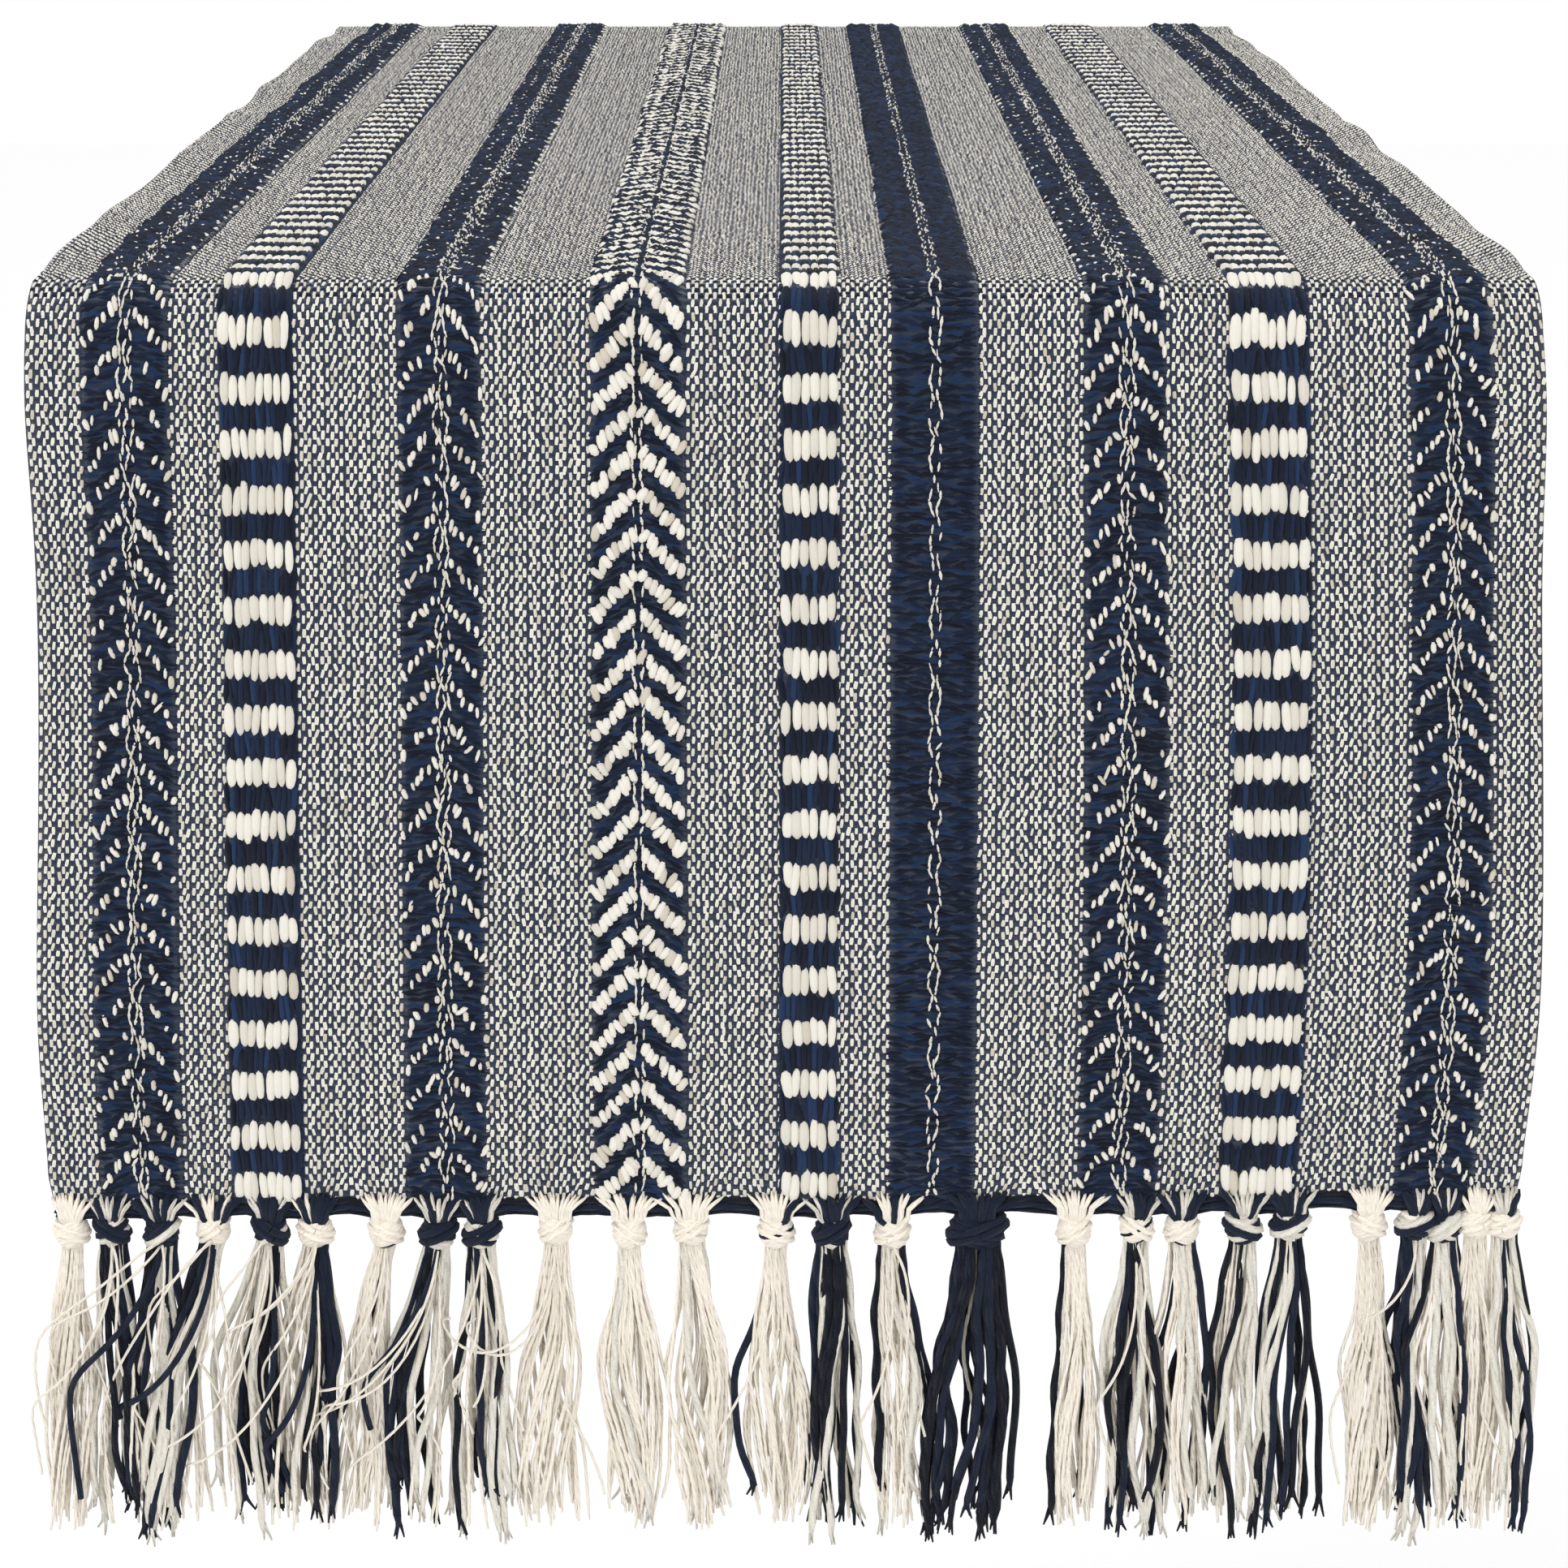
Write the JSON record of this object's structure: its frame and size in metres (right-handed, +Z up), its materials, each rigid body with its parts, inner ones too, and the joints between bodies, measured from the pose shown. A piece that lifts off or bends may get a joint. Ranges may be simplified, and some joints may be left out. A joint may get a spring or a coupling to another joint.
{
  "type": "table runner",
  "caption": "Handwoven table runner draped over a table, with lengthwise pattern bands, thick hem headings and knotted tassel fringes at both ends.",
  "frame": {"origin": "centre of the underside of the flat panel, the face that rests on the table top", "axes": "+X across the cloth, +Y along it towards the back end, +Z up; the front end hangs at -Y"},
  "size_m": [0.3812, 0.71, 0.3416],
  "materials": {
    "woven_cloth": "matte ivory and navy plain weave with raised bands",
    "ivory_yarn": "matte plied cotton",
    "navy_yarn": "matte brushed cotton",
    "ivory_and_navy_yarn": "matte plied cotton, both yarns in one tassel"
  },
  "bodies": {
    "panel": {"cloth_top": "woven_cloth", "front_fold": "woven_cloth", "back_fold": "woven_cloth"},
    "front_end": {"front_drop": "woven_cloth", "front_heading": "navy_yarn"},
    "back_end": {"back_drop": "woven_cloth", "back_heading": "navy_yarn"},
    "front_tassel_01": {"front_tassel_01": "ivory_yarn"},
    "front_tassel_02": {"front_tassel_02": "ivory_and_navy_yarn"},
    "front_tassel_03": {"front_tassel_03": "ivory_and_navy_yarn"},
    "front_tassel_04": {"front_tassel_04": "ivory_and_navy_yarn"},
    "front_tassel_05": {"front_tassel_05": "ivory_and_navy_yarn"},
    "front_tassel_06": {"front_tassel_06": "ivory_and_navy_yarn"},
    "front_tassel_07": {"front_tassel_07": "ivory_and_navy_yarn"},
    "front_tassel_08": {"front_tassel_08": "ivory_and_navy_yarn"},
    "front_tassel_09": {"front_tassel_09": "ivory_and_navy_yarn"},
    "front_tassel_10": {"front_tassel_10": "ivory_yarn"},
    "front_tassel_11": {"front_tassel_11": "ivory_yarn"},
    "front_tassel_12": {"front_tassel_12": "ivory_yarn"},
    "front_tassel_13": {"front_tassel_13": "ivory_yarn"},
    "front_tassel_14": {"front_tassel_14": "ivory_and_navy_yarn"},
    "front_tassel_15": {"front_tassel_15": "ivory_and_navy_yarn"},
    "front_tassel_16": {"front_tassel_16": "navy_yarn"},
    "front_tassel_17": {"front_tassel_17": "ivory_and_navy_yarn"},
    "front_tassel_18": {"front_tassel_18": "ivory_and_navy_yarn"},
    "front_tassel_19": {"front_tassel_19": "ivory_and_navy_yarn"},
    "front_tassel_20": {"front_tassel_20": "ivory_and_navy_yarn"},
    "front_tassel_21": {"front_tassel_21": "ivory_and_navy_yarn"},
    "front_tassel_22": {"front_tassel_22": "ivory_yarn"},
    "front_tassel_23": {"front_tassel_23": "ivory_and_navy_yarn"},
    "front_tassel_24": {"front_tassel_24": "ivory_and_navy_yarn"},
    "front_tassel_25": {"front_tassel_25": "ivory_yarn"},
    "front_tassel_26": {"front_tassel_26": "ivory_yarn"},
    "back_tassel_01": {"back_tassel_01": "ivory_yarn"},
    "back_tassel_02": {"back_tassel_02": "ivory_and_navy_yarn"},
    "back_tassel_03": {"back_tassel_03": "ivory_and_navy_yarn"},
    "back_tassel_04": {"back_tassel_04": "ivory_and_navy_yarn"},
    "back_tassel_05": {"back_tassel_05": "ivory_and_navy_yarn"},
    "back_tassel_06": {"back_tassel_06": "ivory_and_navy_yarn"},
    "back_tassel_07": {"back_tassel_07": "ivory_and_navy_yarn"},
    "back_tassel_08": {"back_tassel_08": "ivory_and_navy_yarn"},
    "back_tassel_09": {"back_tassel_09": "ivory_and_navy_yarn"},
    "back_tassel_10": {"back_tassel_10": "ivory_yarn"},
    "back_tassel_11": {"back_tassel_11": "ivory_yarn"},
    "back_tassel_12": {"back_tassel_12": "ivory_yarn"},
    "back_tassel_13": {"back_tassel_13": "ivory_yarn"},
    "back_tassel_14": {"back_tassel_14": "ivory_and_navy_yarn"},
    "back_tassel_15": {"back_tassel_15": "ivory_and_navy_yarn"},
    "back_tassel_16": {"back_tassel_16": "navy_yarn"},
    "back_tassel_17": {"back_tassel_17": "ivory_and_navy_yarn"},
    "back_tassel_18": {"back_tassel_18": "ivory_and_navy_yarn"},
    "back_tassel_19": {"back_tassel_19": "ivory_and_navy_yarn"},
    "back_tassel_20": {"back_tassel_20": "ivory_and_navy_yarn"},
    "back_tassel_21": {"back_tassel_21": "ivory_and_navy_yarn"},
    "back_tassel_22": {"back_tassel_22": "ivory_yarn"},
    "back_tassel_23": {"back_tassel_23": "ivory_and_navy_yarn"},
    "back_tassel_24": {"back_tassel_24": "ivory_and_navy_yarn"},
    "back_tassel_25": {"back_tassel_25": "ivory_yarn"},
    "back_tassel_26": {"back_tassel_26": "ivory_yarn"}
  },
  "joints": [
    {"name": "front_drop_lift", "type": "hinge", "parent": "panel", "child": "front_end", "pos_m": [0, -0.34664, -0.00136], "axis": [-1, 0, 0], "range_deg": [0, 90], "deforming": ["front_fold"]},
    {"name": "back_drop_lift", "type": "hinge", "parent": "panel", "child": "back_end", "pos_m": [0, 0.34664, -0.00136], "axis": [1, 0, 0], "range_deg": [0, 90], "deforming": ["back_fold"]},
    {"name": "front_tassel_01_swing", "type": "hinge", "parent": "front_end", "child": "front_tassel_01", "pos_m": [0, -0.349, -0.2487], "axis": [-1, 0, 0], "range_deg": [-60, 60]},
    {"name": "front_tassel_02_swing", "type": "hinge", "parent": "front_end", "child": "front_tassel_02", "pos_m": [0, -0.349, -0.2487], "axis": [-1, 0, 0], "range_deg": [-60, 60]},
    {"name": "front_tassel_03_swing", "type": "hinge", "parent": "front_end", "child": "front_tassel_03", "pos_m": [0, -0.349, -0.2487], "axis": [-1, 0, 0], "range_deg": [-60, 60]},
    {"name": "front_tassel_04_swing", "type": "hinge", "parent": "front_end", "child": "front_tassel_04", "pos_m": [0, -0.349, -0.2487], "axis": [-1, 0, 0], "range_deg": [-60, 60]},
    {"name": "front_tassel_05_swing", "type": "hinge", "parent": "front_end", "child": "front_tassel_05", "pos_m": [0, -0.349, -0.2487], "axis": [-1, 0, 0], "range_deg": [-60, 60]},
    {"name": "front_tassel_06_swing", "type": "hinge", "parent": "front_end", "child": "front_tassel_06", "pos_m": [0, -0.349, -0.2487], "axis": [-1, 0, 0], "range_deg": [-60, 60]},
    {"name": "front_tassel_07_swing", "type": "hinge", "parent": "front_end", "child": "front_tassel_07", "pos_m": [0, -0.349, -0.2487], "axis": [-1, 0, 0], "range_deg": [-60, 60]},
    {"name": "front_tassel_08_swing", "type": "hinge", "parent": "front_end", "child": "front_tassel_08", "pos_m": [0, -0.349, -0.2487], "axis": [-1, 0, 0], "range_deg": [-60, 60]},
    {"name": "front_tassel_09_swing", "type": "hinge", "parent": "front_end", "child": "front_tassel_09", "pos_m": [0, -0.349, -0.2487], "axis": [-1, 0, 0], "range_deg": [-60, 60]},
    {"name": "front_tassel_10_swing", "type": "hinge", "parent": "front_end", "child": "front_tassel_10", "pos_m": [0, -0.349, -0.2487], "axis": [-1, 0, 0], "range_deg": [-60, 60]},
    {"name": "front_tassel_11_swing", "type": "hinge", "parent": "front_end", "child": "front_tassel_11", "pos_m": [0, -0.349, -0.2487], "axis": [-1, 0, 0], "range_deg": [-60, 60]},
    {"name": "front_tassel_12_swing", "type": "hinge", "parent": "front_end", "child": "front_tassel_12", "pos_m": [0, -0.349, -0.2487], "axis": [-1, 0, 0], "range_deg": [-60, 60]},
    {"name": "front_tassel_13_swing", "type": "hinge", "parent": "front_end", "child": "front_tassel_13", "pos_m": [0, -0.349, -0.2487], "axis": [-1, 0, 0], "range_deg": [-60, 60]},
    {"name": "front_tassel_14_swing", "type": "hinge", "parent": "front_end", "child": "front_tassel_14", "pos_m": [0, -0.349, -0.2487], "axis": [-1, 0, 0], "range_deg": [-60, 60]},
    {"name": "front_tassel_15_swing", "type": "hinge", "parent": "front_end", "child": "front_tassel_15", "pos_m": [0, -0.349, -0.2487], "axis": [-1, 0, 0], "range_deg": [-60, 60]},
    {"name": "front_tassel_16_swing", "type": "hinge", "parent": "front_end", "child": "front_tassel_16", "pos_m": [0, -0.349, -0.2487], "axis": [-1, 0, 0], "range_deg": [-60, 60]},
    {"name": "front_tassel_17_swing", "type": "hinge", "parent": "front_end", "child": "front_tassel_17", "pos_m": [0, -0.349, -0.2487], "axis": [-1, 0, 0], "range_deg": [-60, 60]},
    {"name": "front_tassel_18_swing", "type": "hinge", "parent": "front_end", "child": "front_tassel_18", "pos_m": [0, -0.349, -0.2487], "axis": [-1, 0, 0], "range_deg": [-60, 60]},
    {"name": "front_tassel_19_swing", "type": "hinge", "parent": "front_end", "child": "front_tassel_19", "pos_m": [0, -0.349, -0.2487], "axis": [-1, 0, 0], "range_deg": [-60, 60]},
    {"name": "front_tassel_20_swing", "type": "hinge", "parent": "front_end", "child": "front_tassel_20", "pos_m": [0, -0.349, -0.2487], "axis": [-1, 0, 0], "range_deg": [-60, 60]},
    {"name": "front_tassel_21_swing", "type": "hinge", "parent": "front_end", "child": "front_tassel_21", "pos_m": [0, -0.349, -0.2487], "axis": [-1, 0, 0], "range_deg": [-60, 60]},
    {"name": "front_tassel_22_swing", "type": "hinge", "parent": "front_end", "child": "front_tassel_22", "pos_m": [0, -0.349, -0.2487], "axis": [-1, 0, 0], "range_deg": [-60, 60]},
    {"name": "front_tassel_23_swing", "type": "hinge", "parent": "front_end", "child": "front_tassel_23", "pos_m": [0, -0.349, -0.2487], "axis": [-1, 0, 0], "range_deg": [-60, 60]},
    {"name": "front_tassel_24_swing", "type": "hinge", "parent": "front_end", "child": "front_tassel_24", "pos_m": [0, -0.349, -0.2487], "axis": [-1, 0, 0], "range_deg": [-60, 60]},
    {"name": "front_tassel_25_swing", "type": "hinge", "parent": "front_end", "child": "front_tassel_25", "pos_m": [0, -0.349, -0.2487], "axis": [-1, 0, 0], "range_deg": [-60, 60]},
    {"name": "front_tassel_26_swing", "type": "hinge", "parent": "front_end", "child": "front_tassel_26", "pos_m": [0, -0.349, -0.2487], "axis": [-1, 0, 0], "range_deg": [-60, 60]},
    {"name": "back_tassel_01_swing", "type": "hinge", "parent": "back_end", "child": "back_tassel_01", "pos_m": [0, 0.349, -0.2487], "axis": [1, 0, 0], "range_deg": [-60, 60]},
    {"name": "back_tassel_02_swing", "type": "hinge", "parent": "back_end", "child": "back_tassel_02", "pos_m": [0, 0.349, -0.2487], "axis": [1, 0, 0], "range_deg": [-60, 60]},
    {"name": "back_tassel_03_swing", "type": "hinge", "parent": "back_end", "child": "back_tassel_03", "pos_m": [0, 0.349, -0.2487], "axis": [1, 0, 0], "range_deg": [-60, 60]},
    {"name": "back_tassel_04_swing", "type": "hinge", "parent": "back_end", "child": "back_tassel_04", "pos_m": [0, 0.349, -0.2487], "axis": [1, 0, 0], "range_deg": [-60, 60]},
    {"name": "back_tassel_05_swing", "type": "hinge", "parent": "back_end", "child": "back_tassel_05", "pos_m": [0, 0.349, -0.2487], "axis": [1, 0, 0], "range_deg": [-60, 60]},
    {"name": "back_tassel_06_swing", "type": "hinge", "parent": "back_end", "child": "back_tassel_06", "pos_m": [0, 0.349, -0.2487], "axis": [1, 0, 0], "range_deg": [-60, 60]},
    {"name": "back_tassel_07_swing", "type": "hinge", "parent": "back_end", "child": "back_tassel_07", "pos_m": [0, 0.349, -0.2487], "axis": [1, 0, 0], "range_deg": [-60, 60]},
    {"name": "back_tassel_08_swing", "type": "hinge", "parent": "back_end", "child": "back_tassel_08", "pos_m": [0, 0.349, -0.2487], "axis": [1, 0, 0], "range_deg": [-60, 60]},
    {"name": "back_tassel_09_swing", "type": "hinge", "parent": "back_end", "child": "back_tassel_09", "pos_m": [0, 0.349, -0.2487], "axis": [1, 0, 0], "range_deg": [-60, 60]},
    {"name": "back_tassel_10_swing", "type": "hinge", "parent": "back_end", "child": "back_tassel_10", "pos_m": [0, 0.349, -0.2487], "axis": [1, 0, 0], "range_deg": [-60, 60]},
    {"name": "back_tassel_11_swing", "type": "hinge", "parent": "back_end", "child": "back_tassel_11", "pos_m": [0, 0.349, -0.2487], "axis": [1, 0, 0], "range_deg": [-60, 60]},
    {"name": "back_tassel_12_swing", "type": "hinge", "parent": "back_end", "child": "back_tassel_12", "pos_m": [0, 0.349, -0.2487], "axis": [1, 0, 0], "range_deg": [-60, 60]},
    {"name": "back_tassel_13_swing", "type": "hinge", "parent": "back_end", "child": "back_tassel_13", "pos_m": [0, 0.349, -0.2487], "axis": [1, 0, 0], "range_deg": [-60, 60]},
    {"name": "back_tassel_14_swing", "type": "hinge", "parent": "back_end", "child": "back_tassel_14", "pos_m": [0, 0.349, -0.2487], "axis": [1, 0, 0], "range_deg": [-60, 60]},
    {"name": "back_tassel_15_swing", "type": "hinge", "parent": "back_end", "child": "back_tassel_15", "pos_m": [0, 0.349, -0.2487], "axis": [1, 0, 0], "range_deg": [-60, 60]},
    {"name": "back_tassel_16_swing", "type": "hinge", "parent": "back_end", "child": "back_tassel_16", "pos_m": [0, 0.349, -0.2487], "axis": [1, 0, 0], "range_deg": [-60, 60]},
    {"name": "back_tassel_17_swing", "type": "hinge", "parent": "back_end", "child": "back_tassel_17", "pos_m": [0, 0.349, -0.2487], "axis": [1, 0, 0], "range_deg": [-60, 60]},
    {"name": "back_tassel_18_swing", "type": "hinge", "parent": "back_end", "child": "back_tassel_18", "pos_m": [0, 0.349, -0.2487], "axis": [1, 0, 0], "range_deg": [-60, 60]},
    {"name": "back_tassel_19_swing", "type": "hinge", "parent": "back_end", "child": "back_tassel_19", "pos_m": [0, 0.349, -0.2487], "axis": [1, 0, 0], "range_deg": [-60, 60]},
    {"name": "back_tassel_20_swing", "type": "hinge", "parent": "back_end", "child": "back_tassel_20", "pos_m": [0, 0.349, -0.2487], "axis": [1, 0, 0], "range_deg": [-60, 60]},
    {"name": "back_tassel_21_swing", "type": "hinge", "parent": "back_end", "child": "back_tassel_21", "pos_m": [0, 0.349, -0.2487], "axis": [1, 0, 0], "range_deg": [-60, 60]},
    {"name": "back_tassel_22_swing", "type": "hinge", "parent": "back_end", "child": "back_tassel_22", "pos_m": [0, 0.349, -0.2487], "axis": [1, 0, 0], "range_deg": [-60, 60]},
    {"name": "back_tassel_23_swing", "type": "hinge", "parent": "back_end", "child": "back_tassel_23", "pos_m": [0, 0.349, -0.2487], "axis": [1, 0, 0], "range_deg": [-60, 60]},
    {"name": "back_tassel_24_swing", "type": "hinge", "parent": "back_end", "child": "back_tassel_24", "pos_m": [0, 0.349, -0.2487], "axis": [1, 0, 0], "range_deg": [-60, 60]},
    {"name": "back_tassel_25_swing", "type": "hinge", "parent": "back_end", "child": "back_tassel_25", "pos_m": [0, 0.349, -0.2487], "axis": [1, 0, 0], "range_deg": [-60, 60]},
    {"name": "back_tassel_26_swing", "type": "hinge", "parent": "back_end", "child": "back_tassel_26", "pos_m": [0, 0.349, -0.2487], "axis": [1, 0, 0], "range_deg": [-60, 60]}
  ]
}
